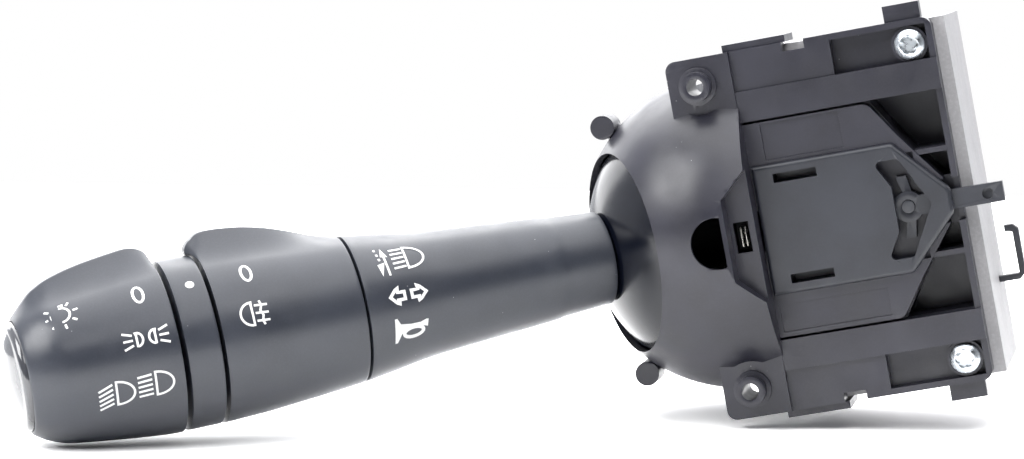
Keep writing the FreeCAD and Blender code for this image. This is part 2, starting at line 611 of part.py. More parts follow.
def connector():
    body = new_body("connector_shell")
    pad(body, "shell", [rectangle("d.socket_left + 0.05", "-d.socket_half + 0.05",
                                  "d.socket_right - 0.05", "d.socket_half - 0.05")],
        "-d.socket_mouth", "d.socket_mouth - d.board_depth - d.board_wall")
    pocket(body, "cavity", [rectangle("d.socket_left + d.socket_wall",
                                      "-d.socket_half + d.socket_wall",
                                      "d.socket_right - d.socket_wall",
                                      "d.socket_half - d.socket_wall")],
           "-d.socket_floor", "d.socket_mouth - d.socket_floor")
    keep("connector_shell", body)
    pins = new_body("connector_pins")
    middle = "(d.socket_left + d.socket_right) / 2"
    shapes = []
    for column in range(-2, 3):
        for sign in ("", "-"):
            across = f"{middle} + {column} * d.contact_pitch"
            up = f"{sign}d.contact_row"
            shapes.append(rectangle(f"{across} - d.contact_half", f"{up} - d.contact_half",
                                    f"{across} + d.contact_half", f"{up} + d.contact_half"))
    pad(pins, "pins", shapes, "-d.contact_reach", "d.contact_reach - d.socket_floor")
    keep("connector_pins", pins)


def cable_hook():
    body = new_body("cable_hook")
    foot, tip = "-d.hook_row - 5.2", "-d.hook_row + 5.9"
    side, reach = "d.carrier_right", "d.carrier_right + d.hook_reach"
    pad(body, "hook", [[(side, foot), (f"{reach} - 1.2", foot), (reach, f"{foot} + 1.2"),
                        (reach, f"{tip} - 1"), (f"{reach} - 1", tip), (f"{reach} - 2.7", tip),
                        (f"{reach} - 2.7", f"{tip} - d.hook_wall"),
                        (f"{reach} - d.hook_wall", f"{tip} - d.hook_wall - 0.3"),
                        (f"{reach} - d.hook_wall", f"{foot} + d.hook_wall"),
                        (side, f"{foot} + d.hook_wall")]], "-d.hook_depth", "2.6")
    keep("cable_hook", body)


# Black shell behind the dome, with the post that the stalk swings on
def rear_shell():
    rim = "sqrt(d.dome_radius ^ 2 - (d.dome_back - d.pivot_depth) ^ 2)"
    body = new_body("shell_block")
    turn(body, "block", [("0", "d.dome_back"), (rim, "d.dome_back"),
                         (rim, "d.shell_back - d.shell_bevel"),
                         (f"{rim} - d.shell_bevel", "d.shell_back"),
                         ("0", "d.shell_back")], "Revolution", "XY_Plane")
    hollow = cylinder("shell_bore", f"{rim} - d.shell_wall",
                      "d.shell_back - d.dome_back - d.shell_wall + 1",
                      ("0", "d.dome_back - 1", "0"), REAR)
    solids = []
    for name, solid, right, grow in (("shell_solid", body, "d.dome_right", "0"),
                                     ("shell_hollow", hollow, "d.dome_right - d.shell_wall",
                                      "d.shell_wall")):
        side = box(name + "_side", ("-2 * d.dome_radius", "0", "-2 * d.dome_radius"),
                   (right, "2 * d.shell_back", "2 * d.dome_radius"))
        kept = combine("MultiCommon", name + "_left", [solid, side])
        solids.append(clear_bracket(name, kept, grow))
    walls = cut("shell_walls", *solids)
    post = cylinder("swivel_post", "d.swivel_radius",
                    "d.shell_back - d.pivot_depth - d.yoke_back - d.shell_wall",
                    ("0", "d.shell_back - d.shell_wall", "0"), FRONT)
    keep("rear_shell", combine("MultiFuse", "rear_shell", [walls, post]))


# Contacts that the stalk works, on a block behind the dome's square window
def signal_contacts():
    half = "(d.slot_half - 0.3)"
    block = box("contact_block", ("d.slot_left", "-d.block_front", "-" + half),
                ("d.dome_right - d.dome_wall", "d.block_back", half))
    keep("contact_block", block)
    blades = []
    for number in (1, 2):
        left = f"(d.slot_left + {number} * (d.slot_right - d.slot_left) / 4)"
        blades.append(box(f"blade_{number}", (left, "-d.block_front - d.blade_reach",
                                              "-d.blade_half"),
                          (f"{left} + d.blade_wall", "-d.block_front", "d.blade_half")))
    keep("signal_contacts", combine("MultiFuse", "signal_contacts", blades))


def swivel_parts():
    body = new_body("swivel_yoke")
    reach = "(d.yoke_half + d.yoke_cheek)"
    side_front = "-d.pivot_depth + d.yoke_front"
    base_back = "-d.pivot_depth - d.yoke_back - d.yoke_wall"
    pad(body, "base", [rectangle("d.yoke_left", f"-{reach}", "d.yoke_right", reach)],
        base_back, "d.yoke_wall")
    for sign in ("", "-"):
        side = "upper" if sign == "" else "lower"
        pad(body, side + "_cheek", [rectangle("d.yoke_left / 2", f"{sign}d.yoke_half",
                                              "d.yoke_right", sign + reach)],
            base_back, f"({side_front}) - ({base_back})")
    pocket(body, "swivel_hole", [("0", "0", "d.swivel_radius + d.fit")],
           "-d.pivot_depth - d.yoke_back", "d.yoke_wall")
    pocket(body, "cross_holes", [("0", "d.pivot_depth", "d.cross_radius")], reach,
           f"2 * {reach}", "XY_Plane")
    keep("swivel_yoke", body)
    pin = cylinder("cross_pin", "d.cross_radius", f"2 * {reach}",
                   ("0", "d.pivot_depth", f"-{reach}"), UP)
    keep("cross_pin", pin)
    back = "d.pivot_depth + d.yoke_back + d.yoke_wall + d.washer_gap"
    discs = [cylinder(f"washer_{name}", radius, "d.washer_wall", ("0", back, "0"), REAR)
             for name, radius in (("disc", "d.washer_radius"), ("bore", "d.swivel_radius"))]
    keep("swivel_washer", cut("swivel_washer", *discs))


def lever_core():
    body = new_body("lever_core")
    turn(body, "core", [("0", "-d.ball_radius", "d.ball_radius", 1), ("d.ball_radius", "0"),
                        ("d.core_radius", "d.core_start"), ("d.core_radius", CORE_END),
                        ("0", CORE_END)])
    turn(body, "bore", [("0", "d.core_start + 2"), ("d.core_bore", "d.core_start + 2"),
                        ("d.core_bore", CORE_END), ("0", CORE_END)], "Groove")
    reach = "(d.yoke_half - d.hub_gap)"
    pad(body, "hub", [("0", "0", "d.hub_radius")], f"-{reach}", f"2 * {reach}", "YZ_Plane")
    pocket(body, "cross_bore", [("0", "0", "d.cross_radius + d.fit")], reach, f"2 * {reach}",
           "YZ_Plane")
    keep("lever_core", body, STALK)


def ball_skirt():
    body = new_body("ball_skirt")
    rim = "d.skirt_half"
    outer, inner = "d.skirt_radius", "(d.skirt_radius - d.skirt_wall)"
    inner_rim = f"{inner} * {rim} / {outer}"
    hub = "d.core_radius + 1.6"
    turn(body, "cap", [("d.core_radius", "d.sleeve_start - 7"), (hub, "d.sleeve_start - 7"),
                       (hub, f"sqrt({inner} ^ 2 - ({hub}) ^ 2)", inner, -1),
                       (inner_rim, f"sqrt({inner} ^ 2 - ({inner_rim}) ^ 2)"),
                       (rim, f"sqrt({outer} ^ 2 - {rim} ^ 2)", outer, 1),
                       ("d.core_radius", f"sqrt({outer} ^ 2 - d.core_radius ^ 2)")])
    keep("ball_skirt", body, STALK)


def stalk_sleeve():
    body = new_body("stalk_sleeve")
    start = "sqrt(d.skirt_radius ^ 2 - d.core_radius ^ 2)"
    wall = "d.sleeve_wall"
    turn(body, "tube", [("d.core_radius", start), ("d.sleeve_thin", start),
                        ("d.sleeve_mid", "d.sleeve_start + 22.6"),
                        ("d.sleeve_thick - 2.2", "d.sleeve_end - 14.5"),
                        ("d.sleeve_thick", "d.sleeve_end"),
                        (f"d.sleeve_thick - {wall}", "d.sleeve_end"),
                        (f"d.sleeve_thick - 2.2 - {wall}", "d.sleeve_end - 14.5"),
                        (f"d.sleeve_mid - {wall}", "d.sleeve_start + 22.6"),
                        ("d.core_radius", "d.sleeve_start + 8")])
    keep("stalk_sleeve", body, STALK)


def switch_drum():
    body = new_body("switch_drum")
    turn(body, "drum", [("d.core_radius", "d.sleeve_end - d.drum_lead"),
                        ("d.drum_radius", "d.sleeve_end - d.drum_lead"),
                        ("d.drum_radius", INDEX_END), ("d.drum_small", INDEX_END),
                        ("d.drum_small", CORE_END), ("d.core_radius", CORE_END)])
    keep("switch_drum", body, STALK)


def stalk_ring(name, inner, outer, start, end):
    """A plain ring about the stalk's axis."""
    body = new_body(name)
    turn(body, name + "_turned", [(inner, start), (outer, start), (outer, end), (inner, end)])
    keep(name, body, STALK)


def drum_contacts():
    for name, radius, start in (
            ("fog_contacts", "d.drum_radius", f"({FOG_END} - 4 * d.contact_length)"),
            ("light_contacts", "d.drum_small", f"({KNOB_START} + 3 * d.contact_length)")):
        stalk_ring(name, radius, radius + " + d.contact_wall", start,
                   start + " + d.contact_length")
    end = f"({POST_END} - d.button_travel - d.joint_gap)"
    stalk_ring("horn_contact", "0", "d.core_bore", f"{end} - d.contact_length", end)


def fin(body, name, stations):
    """A blade lofted through sections; each station is a place along the axis and a crest."""
    sketches = []
    for number, (place, crest) in enumerate(stations):
        points = [("d.drum_radius", "-d.fin_base"), (crest, "-d.fin_top", "d.fin_top * 1.3", 1),
                  (crest, "d.fin_top"), ("d.drum_radius", "d.fin_base")]
        sketches.append(draw(body, f"{name}_{number}", [points], place, "XY_Plane"))
    loft = body.newObject("PartDesign::AdditiveLoft", name)
    loft.Profile = sketches[0]
    loft.Sections = sketches[1:]
    doc.recompute()
    return loft


def ring_inside(body, start, end, thick_start, thick_end, bearing):
    """Hollow a turned ring, leaving a web with a running bore at each end."""
    wall = "d.knob_wall"
    web = "2.2"
    turn(body, "hollow", [("0", start), (f"{bearing} + d.fit", start),
                          (f"{bearing} + d.fit", f"{start} + {web}"),
                          (f"{thick_start} - {wall}", f"{start} + {web}"),
                          (f"{thick_end} - {wall}", f"{end} - {web}"),
                          (f"{bearing} + d.fit", f"{end} - {web}"),
                          (f"{bearing} + d.fit", end), ("0", end)], "Groove")


def fog_ring():
    body = new_body("fog_ring")
    start = FOG_START
    turn(body, "ring", [("0", start), ("d.sleeve_thick", start),
                        ("d.fog_thick - 0.5", f"{FOG_END} - 11.5"), ("d.fog_thick", FOG_END),
                        ("0", FOG_END)])
    fin(body, "fog_fin", [(start, "d.sleeve_thick - 0.2"),
                          (f"{FOG_END} - 15.4", "d.fog_fin - 1.9"),
                          (f"{FOG_END} - 3", "d.fog_fin"), (FOG_END, "d.fog_fin - 0.8")])
    ring_inside(body, start, FOG_END, "d.sleeve_thick", "d.fog_thick", "d.drum_radius")
    keep("fog_ring", body, STALK)


def light_knob():
    body = new_body("light_knob")
    bend = "40"
    turn(body, "cap", [("0", KNOB_START), ("d.knob_thick", KNOB_START, bend, 1),
                       ("d.knob_shoulder_radius", KNOB_SHOULDER, "16", 1),
                       ("d.knob_shoulder_radius - 2.6", f"{KNOB_END} - 1.3", "1.9", 1),
                       ("d.knob_mouth + 0.3", KNOB_END), ("0", KNOB_END)])
    fin(body, "knob_fin", [(f"{KNOB_START} + 0.6", "d.knob_fin - 1.2"),
                           (f"{KNOB_START} + 5", "d.knob_fin"),
                           (KNOB_SHOULDER, "d.knob_fin - 2.3"),
                           (f"{KNOB_SHOULDER} + 5", "d.knob_fin - 4.8"),
                           (f"{KNOB_SHOULDER} + 8.4", "d.drum_radius + 0.2")])
    ring_inside(body, KNOB_START, KNOB_SHOULDER, "d.knob_thick",
                "d.knob_shoulder_radius", "d.drum_small")
    turn(body, "mouth", [("0", KNOB_SHOULDER), ("d.knob_mouth", KNOB_SHOULDER),
                         ("d.knob_mouth", KNOB_END), ("0", KNOB_END)], "Groove")
    keep("light_knob", body, STALK)


def horn_button():
    body = new_body("horn_button")
    shell = f"({BUTTON_RADIUS} - d.button_wall)"
    crown = "d.button_crown"
    dish = f"(({BUTTON_RADIUS} - 1) ^ 2 + {crown} ^ 2) / (2 * {crown})"
    turn(body, "button", [("0", POST_END), ("d.button_post", POST_END),
                          ("d.button_post", f"{BUTTON_RIM} - 1.5"),
                          (shell, f"{BUTTON_RIM} - 1.5"), (shell, BUTTON_START),
                          (BUTTON_RADIUS, BUTTON_START),
                          (BUTTON_RADIUS, f"{BUTTON_RIM} - 1"),
                          (f"{BUTTON_RADIUS} - 1", BUTTON_RIM, dish, 1),
                          ("0", BUTTON_TIP)])
    keep("horn_button", body, STALK)
    coil = primitive("Helix", "spring_path", Pitch="d.spring_pitch",
                     Height="d.spring_height", Radius="d.spring_radius", SegmentLength="1")
    wire = primitive("Circle", "spring_section", Radius="d.spring_wire")
    wire.Placement = Placement(Vector(sheet.spring_radius, 0, 0), Rotation(Vector(1, 0, 0), 90))
    spring = doc.addObject("Part::Sweep", "horn_spring")
    spring.Sections = [wire]
    spring.Spine = (coil, [])
    spring.Solid = True
    spring.Frenet = True
    doc.recompute()
    lift = Placement(Vector(0, 0, value(CORE_END) + sheet.spring_wire), Rotation())
    keep("horn_spring", spring, STALK.multiply(lift))


switch_housing()
mechanism_cover()
cancel_pawl()
for screw_side, screw_sign in (("top", 1), ("bottom", -1)):
    housing_screw(screw_side, screw_sign)
rear_carrier()
circuit_board()
connector()
cable_hook()
rear_shell()
signal_contacts()
swivel_parts()
lever_core()
ball_skirt()
stalk_sleeve()
switch_drum()
drum_contacts()
fog_ring()
stalk_ring("index_ring", "d.drum_radius", "d.index_radius", INDEX_START, INDEX_END)
light_knob()
horn_button()
doc.recompute()

# Nothing is written unless every object is sound
for item in doc.Objects:
    if "Invalid" in item.State or "Error" in item.State:
        raise RuntimeError(f"{item.Label} did not compute")
for name, item in nodes.items():
    if item.Shape.isNull() or not item.Shape.isValid():
        raise RuntimeError(f"{name} has no valid shape")

os.makedirs("parts", exist_ok=True)
for name, item in nodes.items():
    item.Shape.exportStep(f"parts/{name}.step")
    print(name, len(item.Shape.Solids), round(item.Shape.Volume, 1))
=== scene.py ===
import json
import math
from collections import Counter

import bmesh
import bpy
from mathutils import Matrix, Vector
from mathutils.geometry import tessellate_polygon


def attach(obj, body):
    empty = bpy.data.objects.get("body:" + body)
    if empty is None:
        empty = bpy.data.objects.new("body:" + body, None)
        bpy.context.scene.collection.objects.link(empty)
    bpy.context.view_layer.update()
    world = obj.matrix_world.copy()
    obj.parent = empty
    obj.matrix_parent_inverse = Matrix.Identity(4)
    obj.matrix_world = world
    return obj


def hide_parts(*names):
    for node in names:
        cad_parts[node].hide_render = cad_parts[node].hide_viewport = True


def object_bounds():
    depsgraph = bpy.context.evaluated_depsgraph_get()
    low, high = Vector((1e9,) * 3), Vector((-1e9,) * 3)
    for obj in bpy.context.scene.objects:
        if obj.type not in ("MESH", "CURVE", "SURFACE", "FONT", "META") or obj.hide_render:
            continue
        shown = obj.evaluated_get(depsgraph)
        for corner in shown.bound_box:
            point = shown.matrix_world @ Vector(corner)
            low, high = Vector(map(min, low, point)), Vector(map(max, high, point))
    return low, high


# Looks of the combination stalk switch. Lengths named MM are millimetres made metres.
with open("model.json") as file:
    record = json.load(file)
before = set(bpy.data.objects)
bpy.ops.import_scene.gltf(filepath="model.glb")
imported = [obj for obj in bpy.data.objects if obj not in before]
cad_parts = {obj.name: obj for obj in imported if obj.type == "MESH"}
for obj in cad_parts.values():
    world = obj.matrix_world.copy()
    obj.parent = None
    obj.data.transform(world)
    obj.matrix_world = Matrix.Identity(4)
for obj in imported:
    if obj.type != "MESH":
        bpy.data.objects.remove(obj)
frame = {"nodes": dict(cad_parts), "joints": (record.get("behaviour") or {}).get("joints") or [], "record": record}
CAD_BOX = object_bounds()
MM = 0.001
JOINTS = {joint["name"]: joint for joint in frame["joints"]}

# The stalk's own axes, read from the joint of its outer ring
PIVOT = Vector(JOINTS["light_turn"]["pos_m"])
ALONG = Vector(JOINTS["light_turn"]["axis"]).normalized()
UP = Vector((0, 0, 1))
TOWARD = UP.cross(ALONG)

# Photograph: image size, focal length in its pixels, and where the swivel point shows
IMAGE_WIDTH = 1024
FOCAL_PIXELS = 3410.0
PIVOT_PIXEL_X = 738.8
VIEW_AZIMUTH = math.radians(12.4)
VIEW_ELEVATION = math.radians(3.0)
VIEW_ROLL = math.radians(10.5)
VIEW_DISTANCE = 0.682
SENSOR = 36.0
FLOOR_RISE = math.radians(5.0)
FLOOR_WHITE = (0.75, 0.75, 0.75, 1)
FLOOR_REACH = 0.6

# The room: white all round and dark behind the photographer. Its strength as a light is less
# than its strength in what the part mirrors.
ROOM_COLOUR = (0.93, 0.95, 1.0, 1)
ROOM_LIGHT = 0.3
ROOM_MIRRORED = 1.0
DARK_SIDE_FROM = 0.0
DARK_SIDE_FULL = 0.5
DARK_SIDE_SHARE = 0.05

# Soft panels: name, place from the part's middle as metres across, upward and towards the camera,
# how far across they aim, size in metres and watts
PANELS = [
    ("top_panel", (0, 0.45, -0.05), 0, (0.9, 0.5), 5),
    ("back_panel", (0, 0.35, -0.5), 0, (1.4, 0.5), 6),
    ("left_panel", (-0.42, 0.34, 0.24), -0.06, (0.35, 0.35), 3.6),
    ("front_panel", (0.1, 0.42, 0.5), 0, (0.5, 0.2), 1.2),
]

# Grain of the materials: noise scales, spread of the roughness, and the dust's cells
BROAD_SCALE = 60
SHEEN_SCALE = 190
SHEEN_SPREAD = 0.06
GRAIN_HEIGHT = 0.0002
DUST_SCALE = 420.0
DUST_CORE = 0.025
DUST_RIM = 0.04
DUST_CELLS_FROM = 0.62
DUST_CELLS_FULL = 0.66
DUST_COLOUR = (0.7, 0.7, 0.72)
CLOUD_SCALE = 900
SCRATCH_SCALE = 2400
SCRATCH_HEIGHT = 0.0001


# Node helpers
def add_node(tree, kind, **inputs):
    node = tree.nodes.new(kind)
    for name, setting in inputs.items():
        node.inputs[name.replace("_", " ")].default_value = setting
    return node


def noise_node(tree, coordinates, scale, detail=3.0, rough=0.55):
    node = add_node(tree, "ShaderNodeTexNoise", Scale=scale, Detail=detail, Roughness=rough)
    tree.links.new(coordinates, node.inputs["Vector"])
    return node.outputs["Fac"]


def ramp(tree, source, low, high, low_value, high_value):
    node = add_node(tree, "ShaderNodeMapRange")
    for name, setting in (("From Min", low), ("From Max", high), ("To Min", low_value),
                          ("To Max", high_value)):
        node.inputs[name].default_value = setting
    tree.links.new(source, node.inputs["Value"])
    return node.outputs["Result"]


def either(tree, first, second):
    node = tree.nodes.new("ShaderNodeMath")
    node.operation = "MAXIMUM"
    tree.links.new(first, node.inputs[0])
    tree.links.new(second, node.inputs[1])
    return node.outputs["Value"]


def mirrored(tree, path):
    """Rays that metal, gloss or glass send on."""
    return either(tree, path.outputs["Is Glossy Ray"], path.outputs["Is Transmission Ray"])


def mix_colour(tree, factor, first, second):
    node = tree.nodes.new("ShaderNodeMix")
    node.data_type = "RGBA"
    tree.links.new(factor, node.inputs["Factor"])
    for socket, colour in ((node.inputs["A"], first), (node.inputs["B"], second)):
        if isinstance(colour, tuple):
            socket.default_value = (*colour, 1)
        else:
            tree.links.new(colour, socket)
    return node.outputs["Result"]


def material(name):
    made = bpy.data.materials.new(name)
    made.use_nodes = True
    tree = made.node_tree
    return made, tree, tree.nodes["Principled BSDF"]


def plastic(name, colour, roughness, grain=0.06, grain_scale=2600, dust=0.0, coat=0.0, fade=0.25):
    """Moulded plastic: fine eroded grain, soft tone changes, and dust specks where it has any."""
    made, tree, shader = material(name)
    place = tree.nodes.new("ShaderNodeTexCoord").outputs["Object"]
    broad = noise_node(tree, place, BROAD_SCALE)
    fine = noise_node(tree, place, grain_scale, 4.0, 0.7)
    light = tuple(min(1.0, part * (1 + fade)) for part in colour)
    dark = tuple(part * (1 - fade) for part in colour)
    tone = mix_colour(tree, ramp(tree, broad, 0.35, 0.65, 0, 1), dark, light)
    speckled = mix_colour(tree, ramp(tree, fine, 0.45, 0.75, 0, 0.35), tone,
                          tuple(min(1.0, part * 1.6) for part in colour))
    if dust:
        cells = add_node(tree, "ShaderNodeTexVoronoi", Scale=DUST_SCALE)
        tree.links.new(place, cells.inputs["Vector"])
        spot = ramp(tree, cells.outputs["Distance"], DUST_CORE, DUST_RIM, dust, 0)
        few = tree.nodes.new("ShaderNodeMath")
        few.operation = "MULTIPLY"
        tree.links.new(spot, few.inputs[0])
        chosen = ramp(tree, cells.outputs["Color"], DUST_CELLS_FROM, DUST_CELLS_FULL, 0, 1)
        tree.links.new(chosen, few.inputs[1])
        speckled = mix_colour(tree, few.outputs["Value"], speckled, DUST_COLOUR)
    tree.links.new(speckled, shader.inputs["Base Color"])
    rough = ramp(tree, noise_node(tree, place, SHEEN_SCALE), 0.3, 0.7, roughness - SHEEN_SPREAD,
                 roughness + SHEEN_SPREAD)
    tree.links.new(rough, shader.inputs["Roughness"])
    bump = add_node(tree, "ShaderNodeBump", Strength=grain, Distance=GRAIN_HEIGHT)
    tree.links.new(fine, bump.inputs["Height"])
    tree.links.new(bump.outputs["Normal"], shader.inputs["Normal"])
    shader.inputs["Coat Weight"].default_value = coat
    shader.inputs["Coat Roughness"].default_value = 0.08
    return made


def metal(name, colour, roughness, plating=0.15):
    """Plated or drawn metal with a cloudy film and fine scratches."""
    made, tree, shader = material(name)
    place = tree.nodes.new("ShaderNodeTexCoord").outputs["Object"]
    cloud = noise_node(tree, place, CLOUD_SCALE, 4.0, 0.6)
    dark = tuple(part * (1 - plating) for part in colour)
    tree.links.new(mix_colour(tree, ramp(tree, cloud, 0.35, 0.65, 0, 1), dark, colour),
                   shader.inputs["Base Color"])
    shader.inputs["Metallic"].default_value = 1.0
    rough = ramp(tree, cloud, 0.3, 0.7, roughness - 0.08, roughness + 0.1)
    tree.links.new(rough, shader.inputs["Roughness"])
    bump = add_node(tree, "ShaderNodeBump", Strength=0.15, Distance=SCRATCH_HEIGHT)
    tree.links.new(noise_node(tree, place, SCRATCH_SCALE, 5.0, 0.7), bump.inputs["Height"])
    tree.links.new(bump.outputs["Normal"], shader.inputs["Normal"])
    return made


MATERIALS = {
    "housing_plastic": plastic("housing_black", (0.022, 0.022, 0.032), 0.35, 0.05, 2200, 0.5),
    "cover_plastic": plastic("cover_black", (0.022, 0.024, 0.032), 0.37, 0.05, 2400, 0.5),
    "skirt_plastic": plastic("skirt_black", (0.003, 0.004, 0.009), 0.2, 0.03, 2600, 0.3),
    "stalk_plastic": plastic("stalk_charcoal", (0.034, 0.038, 0.050), 0.34, 0.03, 2600, 0.6,
                             fade=0.1),
    "inner_plastic": plastic("inner_grey", (0.006, 0.006, 0.007), 0.8),
    "button_gloss": plastic("button_gloss", (0.05, 0.052, 0.06), 0.12, 0.01, 900, 0.0, 1.0),
    "carrier_plastic": plastic("carrier_white", (0.44, 0.435, 0.45), 0.5, 0.08, 1500, 0.0, 0, 0.06),
    "zinc_screw": metal("zinc_plate", (0.6, 0.64, 0.68), 0.3),
    "bright_steel": metal("bright_steel", (0.6, 0.6, 0.61), 0.25),
    "board": plastic("board_green", (0.02, 0.16, 0.06), 0.35),
    "contact_brass": metal("contact_tin", (0.8, 0.78, 0.72), 0.25),
    "print_white": plastic("print_white", (0.9, 0.9, 0.9), 0.5, 0.03, 3000, 0.0, 0, 0.03),
}


# Mesh helpers
def new_object(name, mesh, paint):
    piece = bpy.data.objects.new(name, mesh)
    bpy.context.scene.collection.objects.link(piece)
    mesh.materials.append(MATERIALS[paint])
    return piece


def smooth_by_angle(piece, degrees):
    for face in piece.data.polygons:
        face.use_smooth = True
    bm = bmesh.new()
    bm.from_mesh(piece.data)
    limit = math.radians(degrees)
    for edge in bm.edges:
        edge.smooth = len(edge.link_faces) == 2 and edge.calc_face_angle(0) < limit
    bm.to_mesh(piece.data)
    bm.free()


def on_stalk(place, angle, radius):
    """A point of the stalk: place along it, angle up from the driver's side, radius."""
    return (PIVOT + ALONG * place
            + (TOWARD * math.cos(angle) + UP * math.sin(angle)) * radius)


def curve_through(points, count):
    """Even samples of a smooth curve through (place, radius) points."""
    ends = [points[0]] + list(points) + [points[-1]]
    spans = len(points) - 1
    made = []
    for step in range(count):
        across = step / (count - 1) * spans
        span = min(int(across), spans - 1)
        t = across - span
        p = ends[span:span + 4]
        made.append(tuple(0.5 * (2 * p[1][k] + (p[2][k] - p[0][k]) * t
                                 + (2 * p[0][k] - 5 * p[1][k] + 4 * p[2][k] - p[3][k]) * t * t
                                 + (3 * p[1][k] - p[0][k] - 3 * p[2][k] + p[3][k]) * t ** 3)
                          for k in (0, 1)))
    return made


def along_table(points, place):
    """Straight-line value of a (place, value) list, held flat past its ends."""
    if place <= points[0][0]:
        return points[0][1]
    for (a, low), (b, high) in zip(points, points[1:]):
        if place <= b:
            return low + (high - low) * (place - a) / (b - a)
    return points[-1][1]


FIN_TOP = math.radians(4.6)
FIN_FOOT = math.radians(31.0)
FIN_CENTRE = math.radians(90.0)


def fin_share(angle):
    """How much of the fin's height stands at an angle: one on its crest, none past its foot."""
    off = abs(math.remainder(angle - FIN_CENTRE, math.tau))
    if off <= FIN_TOP:
        return 1.0
    if off >= FIN_FOOT:
        return 0.0
    return (1 - (off - FIN_TOP) / (FIN_FOOT - FIN_TOP)) ** 2.3


def ring_angles(with_fin):
    """Angles round the stalk, closer together over a fin."""
    if not with_fin:
        return [math.tau * k / 160 for k in range(160)]
    fine = [math.radians(54 + 0.5 * k) for k in range(145)]
    coarse = [math.radians(128 + 2 * k) for k in range(143)]
    return fine + coarse


def turned(name, rows, paint, with_fin=False):
    """A closed ring: each row is (place, radius) or a function of the angle that gives them."""
    bm = bmesh.new()
    angles = ring_angles(with_fin)
    grid = []
    for row in rows:
        line = []
        for angle in angles:
            place, radius = row(angle) if callable(row) else row
            line.append(bm.verts.new(on_stalk(place * MM, angle, radius * MM)))
        grid.append(line)
    count = len(angles)
    for first, second in zip(grid, grid[1:] + grid[:1]):
        for k in range(count):
            after = (k + 1) % count
            bm.faces.new((first[k], first[after], second[after], second[k]))
    bmesh.ops.recalc_face_normals(bm, faces=bm.faces)
    mesh = bpy.data.meshes.new(name)
    bm.to_mesh(mesh)
    bm.free()
    piece = new_object(name, mesh, paint)
    smooth_by_angle(piece, 38)
    return piece


def capped(name, rows, paint):
    """A closed turned solid whose first and last rows lie on the axis."""
    bm = bmesh.new()
    angles = ring_angles(False)
    count = len(angles)
    grid = [[bm.verts.new(on_stalk(place * MM, angle, radius * MM)) for angle in angles]
            for place, radius in rows[1:-1]]
    for first, second in zip(grid, grid[1:]):
        for k in range(count):
            after = (k + 1) % count
            bm.faces.new((first[k], first[after], second[after], second[k]))
    for line, (place, radius) in ((grid[0], rows[0]), (grid[-1], rows[-1])):
        centre = bm.verts.new(on_stalk(place * MM, 0, 0))
        for k in range(count):
            bm.faces.new((line[k], line[(k + 1) % count], centre))
    bmesh.ops.recalc_face_normals(bm, faces=bm.faces)
    mesh = bpy.data.meshes.new(name)
    bm.to_mesh(mesh)
    bm.free()
    piece = new_object(name, mesh, paint)
    smooth_by_angle(piece, 38)
    return piece


# Profiles of the stalk in millimetres: place from the swivel point, radius
KNOB = [(118.2, 16.5), (121.5, 16.35), (128.2, 15.7), (137.0, 14.6), (140.6, 13.95),
        (143.4, 12.85), (145.0, 11.95), (145.9, 11.3), (146.2, 10.9)]
KNOB_FIN = [(118.2, 16.5), (118.5, 17.5), (119.2, 18.7), (120.4, 19.5), (122.4, 19.95),
            (126.0, 19.6), (131.5, 18.8), (137.0, 17.5), (141.5, 15.5), (144.5, 12.8),
            (145.9, 11.3), (146.2, 10.9)]
FOG = [(81.7, 14.4), (86.6, 14.9), (98.4, 15.9), (102.3, 16.15), (109.9, 16.45)]
FOG_FIN = [(82.2, 14.4), (86.6, 15.6), (90.5, 17.1), (94.5, 18.5), (98.4, 19.5), (102.3, 20.1),
           (106.0, 20.4), (108.2, 20.3), (109.2, 19.9), (109.9, 19.3)]
SLEEVE = [(29.4, 9.25), (38.2, 9.85), (42.3, 10.35), (54.6, 11.25), (66.7, 12.2), (74.7, 13.4),
          (81.2, 14.4)]
INDEX = [(110.7, 16.4), (117.2, 16.4)]
FIN_SAMPLES = 120

# Roll of the rings' lips: its length, and where its middle point stands from the end and outside
LIP = 0.25
LIP_IN = 0.07
LIP_DOWN = 0.08
LIP_FOOT = 0.3

# The knob's mouth round the button, from the rim inwards
KNOB_MOUTH = [(146.1, 10.66), (140.2, 10.62), (138.2, 10.62), (137.7, 12.0)]

# The fog ring's fin past the ring's end: how far it hangs over, and how far its crest and foot sink
FOG_OVERHANG = [(0.0, 0.0, 0.0), (0.6, 0.3, 0.0), (1.2, 1.0, 0.0), (1.6, 1.8, 0.0),
                (1.65, 2.3, 0.0), (1.5, 2.6, 0.05)]

# The ball skirt: radii of its two balls, and the radii from the axis that each runs through
SKIRT_OUTSIDE = 30.1
SKIRT_INSIDE = 28.8
SKIRT_OUTSIDE_ROWS = [7.0 + 0.5 * k for k in range(33)]
SKIRT_INSIDE_ROWS = [22.4 - 0.8 * k for k in range(20)]

FIN_CRESTS = {id(fin): curve_through(fin, FIN_SAMPLES) for fin in (KNOB_FIN, FOG_FIN)}


def surface_radius(profile, fin, place, angle):
    base = along_table(profile, place)
    if not fin:
        return base
    crest = max(base, along_table(FIN_CRESTS[id(fin)], place))
    return base + (crest - base) * fin_share(angle)


